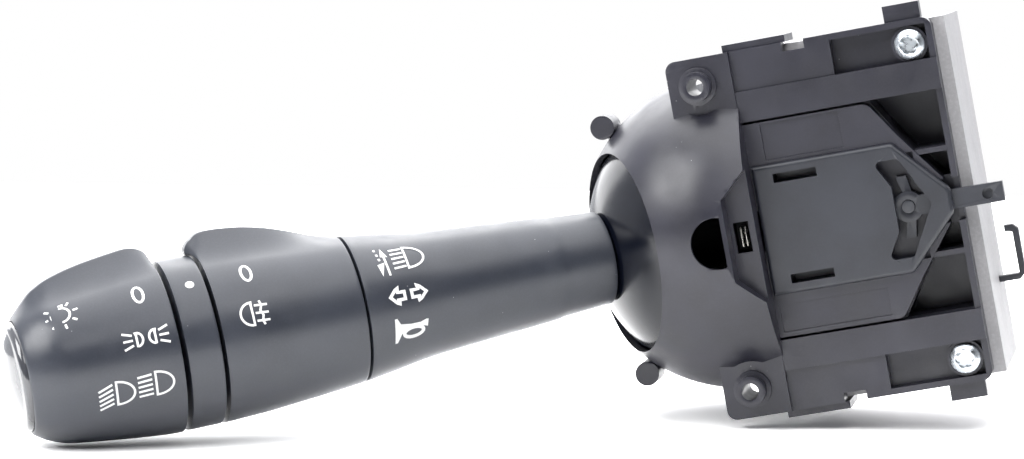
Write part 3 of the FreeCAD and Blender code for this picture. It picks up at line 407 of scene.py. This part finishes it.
def shell_rows(profile, fin, samples, inner):
    """Rows over the outside of a ring, rolled over both lips and back along the inside."""
    fine = curve_through(profile, samples)
    start, end = fine[0][0], fine[-1][0]
    steep = abs(fine[-1][1] - fine[-2][1]) > abs(fine[-1][0] - fine[-2][0])
    rows = [(start, inner), (start, profile[0][1] - LIP_FOOT)]
    rows += [lambda a, p=p, r=r: (p, r + (surface_radius(profile, fin, p, a)
                                          - along_table(profile, p)))
             for p, r in [(start + LIP_IN, fine[0][1] - LIP_DOWN), (start + LIP, fine[0][1])]]
    body = [(p, r) for p, r in fine if start + LIP < p and (steep or p < end - LIP)]
    rows += [lambda a, p=p, r=r: (p, r + (surface_radius(profile, fin, p, a)
                                          - along_table(profile, p))) for p, r in body]
    if not steep:
        rows += [(end - LIP_IN, fine[-1][1] - LIP_DOWN), (end, profile[-1][1] - LIP_FOOT)]
    rows.append((end, min(inner, fine[-1][1] - LIP_FOOT)))
    return rows


def light_knob():
    rows = shell_rows(KNOB, KNOB_FIN, 60, 12.0)[:-1] + KNOB_MOUTH
    knob = turned("light_knob_skin", rows, "stalk_plastic", True)
    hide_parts("light_knob")
    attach(knob, "light_switch")


def fog_ring():
    rows = shell_rows(FOG, FOG_FIN, 46, 13.0)[:-3]
    end, rim = FOG[-1]
    crest = FOG_FIN[-1][1]
    for over, drop, low in FOG_OVERHANG:
        rows.append(lambda a, o=over, c=crest - drop, w=rim - low:
                    (end + o * fin_share(a), w + (c - w) * fin_share(a)))
    rows += [lambda a: (end + 0.06 * fin_share(a), rim - 0.25 + 0.4 * fin_share(a)), (end, 13.0)]
    ring = turned("fog_ring_skin", rows, "stalk_plastic", True)
    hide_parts("fog_ring")
    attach(ring, "fog_switch")


def fixed_rings():
    sleeve = turned("sleeve_skin", shell_rows(SLEEVE, None, 50, 8.2), "stalk_plastic")
    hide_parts("stalk_sleeve")
    index = turned("index_ring_skin", shell_rows(INDEX, None, 8, 11.6), "stalk_plastic")
    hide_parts("index_ring")
    skirt_rows = [(math.sqrt(ball * ball - r * r), r)
                  for ball, radii in ((SKIRT_OUTSIDE, SKIRT_OUTSIDE_ROWS),
                                      (SKIRT_INSIDE, SKIRT_INSIDE_ROWS))
                  for r in radii]
    skirt = turned("ball_skirt_skin", skirt_rows, "skirt_plastic")
    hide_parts("ball_skirt")
    for piece, slot in ((sleeve, "stalk_plastic"), (index, "stalk_plastic"),
                        (skirt, "skirt_plastic")):
        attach(piece, "lever")


BUTTON_FOOT = 139.2
BUTTON_RIM = 147.6
BUTTON_CROWN = 2.3
BUTTON_EDGE = 10.52
BUTTON_ROLL = 1.3
CROWN_STEPS = 20


def horn_button():
    """The end button: a straight skirt, a rolled rim and a low crown."""
    flat = BUTTON_EDGE - BUTTON_ROLL
    dome = [(BUTTON_RIM + BUTTON_CROWN * (1 - (k / CROWN_STEPS) ** 2), flat * k / CROWN_STEPS)
            for k in range(CROWN_STEPS, 0, -1)]
    skirt = [(BUTTON_FOOT, 0), (BUTTON_FOOT, BUTTON_EDGE - 0.4),
             (BUTTON_FOOT + 0.2, BUTTON_EDGE - 0.1), (BUTTON_FOOT + 0.6, BUTTON_EDGE)]
    roll = [(BUTTON_RIM - BUTTON_ROLL + BUTTON_ROLL * math.sin(turn),
             flat + BUTTON_ROLL * math.cos(turn)) for turn in (0.0, 0.3, 0.6, 0.9, 1.2)]
    rows = skirt + roll + dome + [(BUTTON_RIM + BUTTON_CROWN, 0)]
    button = capped("horn_button_skin", rows, "button_gloss")
    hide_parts("horn_button")
    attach(button, "horn_switch")


# Printed signs: shapes on paper in millimetres, x along the stalk to the right, y up. Laid on the
# stalk, a print stands proud of it by a little and reaches as little into it.
PRINT_PROUD = 0.045
PRINT_SUNK = 0.03
LINE_WIDTH = 0.42
LINE_STEP = 0.5
HALVINGS = 2


def stroke(points, width=LINE_WIDTH, closed=False):
    """A ribbon of quads along a line, each a list of corners."""
    spots = [Vector(p) for p in points]
    fine = []
    pairs = list(zip(spots, spots[1:] + spots[:1])) if closed else list(zip(spots, spots[1:]))
    for a, b in pairs:
        steps = max(1, int((b - a).length / LINE_STEP))
        fine += [a.lerp(b, k / steps) for k in range(steps)]
    if not closed:
        fine.append(spots[-1])
    count = len(fine)
    edges = []
    for k, spot in enumerate(fine):
        before = fine[(k - 1) % count] if closed or k else spot
        after = fine[(k + 1) % count] if closed or k < count - 1 else spot
        run = (after - before).normalized()
        side = Vector((-run.y, run.x)) * (width / 2)
        if before != spot and after != spot:
            half = (spot - before).normalized().dot(run)
            side /= max(half, 0.5)
        edges.append((spot + side, spot - side))
    if closed:
        edges.append(edges[0])
    return [[a, b, d, c] for (a, b), (c, d) in zip(edges, edges[1:])]


def quarters(a, b, c):
    """The four triangles that the middles of a triangle's sides cut it into."""
    ab, bc, ca = (a + b) / 2, (b + c) / 2, (c + a) / 2
    return [[a, ab, ca], [ab, b, bc], [ca, bc, c], [ab, bc, ca]]


def filled(points):
    """A filled outline as triangles, small enough to follow the round surface."""
    spots = [Vector((x, y, 0)) for x, y in points]
    triangles = [[spots[i].xy for i in corners] for corners in tessellate_polygon([spots])]
    for _ in range(HALVINGS):
        triangles = [part for triangle in triangles for part in quarters(*triangle)]
    return triangles


def oval(cx, cy, rx, ry, start=0.0, end=360.0, steps=28):
    span = math.radians(end - start)
    first = math.radians(start)
    return [(cx + rx * math.cos(first + span * k / steps),
             cy + ry * math.sin(first + span * k / steps)) for k in range(steps + 1)]


def lamp(x, y, width, height):
    """The lamp outline of beam signs; a negative width turns its round side to the left."""
    return stroke(oval(x, y, width, height / 2, -90, 90, 18), closed=True)


def beam(x, y, length, height, count, slope, width=LINE_WIDTH):
    """Parallel rays that run left from x, stacked over a height round y."""
    lines = []
    for k in range(count):
        level = y + height * (k / (count - 1) - 0.5)
        lines += stroke([(x, level), (x - length, level - slope)], width)
    return lines


def lay(name, shapes, place, angle, radius_at, body):
    """Lay flat shapes on the stalk as a thin closed print, walled only along its outline."""
    bm = bmesh.new()
    centre = radius_at(place, angle)
    corners = {}

    def key(point):
        return round(point[0], 4), round(point[1], 4)

    def pair(point):
        if key(point) not in corners:
            where = place - point[0]
            turn_by = angle + point[1] / centre
            corners[key(point)] = [
                bm.verts.new(on_stalk(where * MM, turn_by, (radius_at(where, turn_by) + lift) * MM))
                for lift in (PRINT_PROUD, -PRINT_SUNK)]
        return corners[key(point)]

    shared = Counter(frozenset((key(a), key(b))) for shape in shapes
                     for a, b in zip(shape, shape[1:] + shape[:1]))
    for shape in shapes:
        bm.faces.new([pair(p)[0] for p in shape])
        bm.faces.new([pair(p)[1] for p in shape][::-1])
        for a, b in zip(shape, shape[1:] + shape[:1]):
            if shared[frozenset((key(a), key(b)))] == 1:
                bm.faces.new((pair(a)[0], pair(a)[1], pair(b)[1], pair(b)[0]))
    bmesh.ops.recalc_face_normals(bm, faces=bm.faces)
    mesh = bpy.data.meshes.new(name)
    bm.to_mesh(mesh)
    bm.free()
    piece = new_object(name, mesh, "print_white")
    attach(piece, body)
    return piece


def knob_radius(place, angle):
    return surface_radius(KNOB, KNOB_FIN, place, angle)


def fog_radius(place, angle):
    return surface_radius(FOG, FOG_FIN, place, angle)


def sleeve_radius(place, angle):
    return along_table(SLEEVE, place)


def index_radius(place, angle):
    return along_table(INDEX, place)


def bulb_sign():
    shapes = stroke(oval(0, -0.2, 1.75, 1.75, steps=30)[:-1], closed=True)
    for k in range(8):
        if k == 2:
            continue
        way = math.radians(45 * k + 8)
        shapes += stroke([(2.45 * math.cos(way), 2.45 * math.sin(way) - 0.2),
                          (3.4 * math.cos(way), 3.4 * math.sin(way) - 0.2)])
    shapes += stroke([(-0.85, 1.5), (-0.85, 2.15), (0.75, 2.3), (0.75, 1.65)])
    return shapes


def zero_sign(wide=0.95, tall=1.9):
    return stroke(oval(0, 0, wide, tall)[:-1], 0.5, True)


def side_lamps_sign():
    """Two small lamps back to back, each with three rays."""
    shapes = []
    for facing in (-1, 1):
        shapes += lamp(facing * 1.75, 0, -facing * 1.15, 2.6)
        for slope in (-1.0, 0.0, 1.0):
            shapes += stroke([(facing * 2.5, slope * 0.95), (facing * 4.3, slope * 1.6)])
    return shapes


def headlamp_sign(slope):
    return lamp(-0.2, 0, 3.3, 4.6) + beam(-0.9, 0, 2.7, 3.9, 5, slope)


def fog_sign():
    shapes = lamp(-0.2, 0, -2.3, 4.4)
    for level in (-1.5, 0.0, 1.5):
        shapes += stroke([(0.4, level), (2.9, level - 0.15)])
    shapes += stroke([(1.5, 2.3), (1.8, 1.4), (1.4, 0.4), (1.8, -0.6), (1.5, -1.6), (1.8, -2.4)])
    return shapes


def flash_sign():
    shapes = lamp(1.45, -0.3, 3.6, 5.1)
    shapes += beam(1.05, -0.25, 2.5, 4.3, 5, 0.3, 0.4)
    shapes += stroke([(-2.65, -4.0), (-2.85, 0.4)])
    shapes += filled([(-3.5, 0.2), (-3.0, 2.3), (-2.1, 0.1)])
    for x, top in ((-4.25, 2.15), (-4.1, 0.9), (-3.95, -0.2)):
        shapes += stroke([(x, top), (x + 0.05, top - 0.5)], 0.45)
    shapes += filled([(-4.6, -1.6), (-3.1, -1.2), (-4.1, -4.0)])
    return shapes


def arrow(x, facing):
    outline = [(x + facing * 2.95, 0), (x + facing * 1.35, 1.65), (x + facing * 1.35, 0.7),
               (x, 0.7), (x, -0.7), (x + facing * 1.35, -0.7), (x + facing * 1.35, -1.65)]
    return stroke(outline, 0.6, True)


def horn_sign():
    cone = [(-3.4, 3.3), (-2.9, 3.3), (-2.3, 2.1), (-0.1, 1.66), (1.85, 1.55), (3.1, 1.9),
            (3.5, 1.8), (3.2, 0.3), (2.6, 0.6), (0.3, 0.75), (-2.2, 0.1), (-3.2, -1.6),
            (-3.7, -1.6)]
    return filled(cone) + stroke(oval(0.3, -0.1, 2.0, 1.0)[:-1], 0.7, True)


UPPER_ROW = math.radians(45)


def signs():
    """Every print: its shapes, its place along the stalk and its angle up from the driver's side."""
    knob = (knob_radius, "light_switch")
    fog = (fog_radius, "fog_switch")
    sleeve = (sleeve_radius, "lever")
    lay("bulb_print", bulb_sign(), 138.2, UPPER_ROW + 0.035, *knob)
    lay("light_zero_print", zero_sign(), 123.5, UPPER_ROW, *knob)
    lay("side_lamp_print", side_lamps_sign(), 124.2, math.radians(12.5), *knob)
    lay("dipped_print", headlamp_sign(1.2), 131.0, math.radians(-22), *knob)
    lay("beam_print", headlamp_sign(0.3), 123.6, math.radians(-19), *knob)
    lay("fog_zero_print", zero_sign(), 102.6, UPPER_ROW, *fog)
    lay("fog_print", fog_sign(), 103.4, math.radians(14), *fog)
    lay("index_dot", filled(oval(0, 0, 0.85, 0.85, steps=24)[:-1]), 113.6, UPPER_ROW - 0.02,
        index_radius, "lever")
    lay("flash_print", flash_sign(), 72.6, math.radians(42), *sleeve)
    lay("arrow_print", arrow(-0.55, -1) + arrow(0.95, 1), 72.9, math.radians(6.3), *sleeve)
    lay("horn_print", horn_sign(), 72.9, math.radians(-26), *sleeve)


WELD_REACH = 0.00001
EDGE_ROUNDING = 0.00018
EDGE_ANGLE = math.radians(42)


def edge_and_shade(piece):
    """Fine rounded edges and smooth shading."""
    for face in piece.data.polygons:
        face.use_smooth = True
        face.material_index = 0
    piece.modifiers.new("weld", "WELD").merge_threshold = WELD_REACH
    bevel = piece.modifiers.new("edges", "BEVEL")
    bevel.width = EDGE_ROUNDING
    bevel.segments = 2
    bevel.limit_method = "ANGLE"
    bevel.angle_limit = EDGE_ANGLE
    bevel.harden_normals = True
    bevel.use_clamp_overlap = True
    piece.modifiers.new("normals", "WEIGHTED_NORMAL").mode = "FACE_AREA"


def dress_cad():
    """Materials, rounded edges and smooth shading for the CAD nodes."""
    slots = {part["node"]: part["material_slot"] for part in frame["record"]["subparts"]}
    for name, piece in frame["nodes"].items():
        piece.data.materials.clear()
        piece.data.materials.append(MATERIALS[slots[name]])
        edge_and_shade(piece)


# Deep wells beside the deck, in millimetres: outlines in the plate's x and z, depths in its y.
# The floor is cut open over WELL_CUT, and a tray behind it runs from WELL_RIM to WELL_FLOOR.
WELL_CUT = (1.6, 3.8)
WELL_RIM = 3.0
WELL_FLOOR = 13.0
WELL_WALL = 0.8
UPPER_WELLS = [[(31.7, 21.4), (45.0, 21.4), (45.0, 10.6), (38.65, 10.6), (36.45, 13.6)],
               [(39.6, 9.4), (45.0, 9.4), (45.0, 4.7), (43.15, 4.7)]]


def prism(outline, front, back):
    """Vertices and faces of an upright prism on the plate, from front to back."""
    count = len(outline)
    points = [(x * MM, y * MM, z * MM) for y in (front, back) for x, z in outline]
    sides = [(k, (k + 1) % count, count + (k + 1) % count, count + k) for k in range(count)]
    return points, sides + [tuple(range(count)), tuple(range(count, 2 * count))]


def closed_mesh(name, points, faces):
    bm = bmesh.new()
    corners = [bm.verts.new(point) for point in points]
    for face in faces:
        bm.faces.new([corners[k] for k in face])
    bmesh.ops.recalc_face_normals(bm, faces=bm.faces)
    mesh = bpy.data.meshes.new(name)
    bm.to_mesh(mesh)
    bm.free()
    return mesh


def grown(outline, by):
    """The outline with each corner moved away from its middle."""
    middle = (sum(x for x, _ in outline) / len(outline), sum(z for _, z in outline) / len(outline))
    return [(x + math.copysign(by, x - middle[0]), z + math.copysign(by, z - middle[1]))
            for x, z in outline]


def well_tray(name, outline):
    """The walls and floor of one well: an open tray behind the plate's floor."""
    inner, _ = prism(outline, WELL_RIM, WELL_FLOOR)
    outer, _ = prism(grown(outline, WELL_WALL), WELL_RIM, WELL_FLOOR + WELL_WALL)
    n = len(outline)
    faces = [tuple(range(n, 2 * n)), tuple(range(3 * n, 4 * n))]
    for k in range(n):
        after = (k + 1) % n
        faces += [(k, after, n + after, n + k), (2 * n + k, 2 * n + after, 3 * n + after, 3 * n + k),
                  (k, after, 2 * n + after, 2 * n + k)]
    tray = new_object(name, closed_mesh(name, inner + outer, faces), "housing_plastic")
    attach(tray, "housing")


def housing_with_wells():
    """A copy of the housing whose floor is open over the wells."""
    outlines = UPPER_WELLS + [[(x, -z) for x, z in outline] for outline in UPPER_WELLS]
    original = frame["nodes"]["switch_housing"]
    mesh = original.data.copy()
    mesh.materials.clear()
    housing = new_object("switch_housing_skin", mesh, "housing_plastic")
    housing.modifiers.new("weld", "WELD").merge_threshold = WELD_REACH
    cutters = []
    for number, outline in enumerate(outlines):
        mesh = closed_mesh(f"well_cut_{number}", *prism(outline, *WELL_CUT))
        cutter = bpy.data.objects.new(mesh.name, mesh)
        bpy.context.scene.collection.objects.link(cutter)
        cut = housing.modifiers.new(mesh.name, "BOOLEAN")
        cut.operation = "DIFFERENCE"
        cut.solver = "EXACT"
        cut.object = cutter
        cutters.append(cutter)
        well_tray(f"well_tray_{number}", outline)
    graph = bpy.context.evaluated_depsgraph_get()
    opened = bpy.data.meshes.new_from_object(housing.evaluated_get(graph))
    housing.modifiers.clear()
    housing.data = opened
    for cutter in cutters:
        bpy.data.objects.remove(cutter)
    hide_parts("switch_housing")
    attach(housing, "housing")
    edge_and_shade(housing)


# Camera, lights, backdrop and floor
def camera_axes():
    azimuth, elevation, roll = VIEW_AZIMUTH, VIEW_ELEVATION, VIEW_ROLL
    back = Vector((math.sin(azimuth) * math.cos(elevation),
                   -math.cos(azimuth) * math.cos(elevation), math.sin(elevation)))
    right = Vector((math.cos(azimuth), math.sin(azimuth), 0))
    upright = back.cross(right)
    across = right * math.cos(roll) - upright * math.sin(roll)
    above = right * math.sin(roll) + upright * math.cos(roll)
    return across, above, back


def camera():
    across, above, back = camera_axes()
    data = bpy.data.cameras.new("camera")
    data.sensor_width = SENSOR
    data.lens = FOCAL_PIXELS / IMAGE_WIDTH * SENSOR
    data.clip_start = 0.01
    data.clip_end = 20
    made = bpy.data.objects.new("camera", data)
    bpy.context.scene.collection.objects.link(made)
    offset = (PIVOT_PIXEL_X - IMAGE_WIDTH / 2) / FOCAL_PIXELS * VIEW_DISTANCE
    spot = PIVOT + back * VIEW_DISTANCE - across * offset
    turn = Matrix((across, above, back)).transposed().to_4x4()
    made.matrix_world = Matrix.Translation(spot) @ turn
    bpy.context.scene.camera = made


def lamp_panel(name, where, target, size, strength):
    data = bpy.data.lights.new(name, "AREA")
    data.shape = "RECTANGLE"
    data.size, data.size_y = size
    data.energy = strength
    made = bpy.data.objects.new(name, data)
    bpy.context.scene.collection.objects.link(made)
    made.location = where
    made.rotation_euler = (target - where).to_track_quat("-Z", "Y").to_euler()


def floor_frame():
    """The floor's upward normal, and a point on it under the lowest point of the part."""
    _, above, back = camera_axes()
    upward = (above * math.cos(FLOOR_RISE) + back * math.sin(FLOOR_RISE)).normalized()
    lowest = min(upward.dot(v.co) for piece in frame["nodes"].values()
                 for v in piece.data.vertices)
    return upward, upward * lowest


def floor():
    """A white floor under the part, a second time as bright where it is seen or mirrored."""
    upward, ground = floor_frame()
    bm = bmesh.new()
    bmesh.ops.create_grid(bm, x_segments=1, y_segments=1, size=FLOOR_REACH)
    mesh = bpy.data.meshes.new("floor")
    bm.to_mesh(mesh)
    bm.free()
    made, tree, shader = material("floor_white")
    shader.inputs["Base Color"].default_value = FLOOR_WHITE
    shader.inputs["Roughness"].default_value = 0.6
    layer = add_node(tree, "ShaderNodeBsdfDiffuse", Color=FLOOR_WHITE)
    bright = tree.nodes.new("ShaderNodeAddShader")
    tree.links.new(shader.outputs["BSDF"], bright.inputs[0])
    tree.links.new(layer.outputs["BSDF"], bright.inputs[1])
    blend = tree.nodes.new("ShaderNodeMixShader")
    path = tree.nodes.new("ShaderNodeLightPath")
    shown = either(tree, path.outputs["Is Camera Ray"], mirrored(tree, path))
    tree.links.new(shown, blend.inputs["Fac"])
    tree.links.new(shader.outputs["BSDF"], blend.inputs[1])
    tree.links.new(bright.outputs["Shader"], blend.inputs[2])
    tree.links.new(blend.outputs["Shader"], tree.nodes["Material Output"].inputs["Surface"])
    mesh.materials.append(made)
    piece = bpy.data.objects.new("floor", mesh)
    bpy.context.scene.collection.objects.link(piece)
    piece.rotation_euler = upward.to_track_quat("Z", "Y").to_euler()
    piece.location = ground


def room():
    """The world: plain white to the camera, and to all else white with a dark side."""
    _, _, back = camera_axes()
    world = bpy.data.worlds.new("studio")
    world.use_nodes = True
    tree = world.node_tree
    walls = tree.nodes["Background"]
    walls.inputs["Color"].default_value = ROOM_COLOUR
    towards = tree.nodes.new("ShaderNodeVectorMath")
    towards.operation = "DOT_PRODUCT"
    tree.links.new(tree.nodes.new("ShaderNodeTexCoord").outputs["Generated"], towards.inputs[0])
    towards.inputs[1].default_value = back
    path = tree.nodes.new("ShaderNodeLightPath")
    shade = ramp(tree, towards.outputs["Value"], DARK_SIDE_FROM, DARK_SIDE_FULL, 1, DARK_SIDE_SHARE)
    level = tree.nodes.new("ShaderNodeMath")
    level.operation = "MULTIPLY"
    tree.links.new(shade, level.inputs[0])
    tree.links.new(ramp(tree, mirrored(tree, path), 0, 1, ROOM_LIGHT, ROOM_MIRRORED), level.inputs[1])
    tree.links.new(level.outputs["Value"], walls.inputs["Strength"])
    white = add_node(tree, "ShaderNodeBackground", Strength=1.0, Color=(1, 1, 1, 1))
    choice = tree.nodes.new("ShaderNodeMixShader")
    tree.links.new(path.outputs["Is Camera Ray"], choice.inputs["Fac"])
    tree.links.new(walls.outputs["Background"], choice.inputs[1])
    tree.links.new(white.outputs["Background"], choice.inputs[2])
    tree.links.new(choice.outputs["Shader"], tree.nodes["World Output"].inputs["Surface"])
    bpy.context.scene.world = world


def lamps():
    upward, _ = floor_frame()
    across, _, back = camera_axes()
    middle = (CAD_BOX[0] + CAD_BOX[1]) / 2
    for name, (aside, high, near), aim, size, strength in PANELS:
        where = middle + across * aside + upward * high + back * near
        lamp_panel(name, where, middle + across * aim, size, strength)


dress_cad()
housing_with_wells()
light_knob()
fog_ring()
fixed_rings()
horn_button()
signs()
camera()
floor()
room()
lamps()
bpy.context.scene.view_settings.view_transform = "Standard"
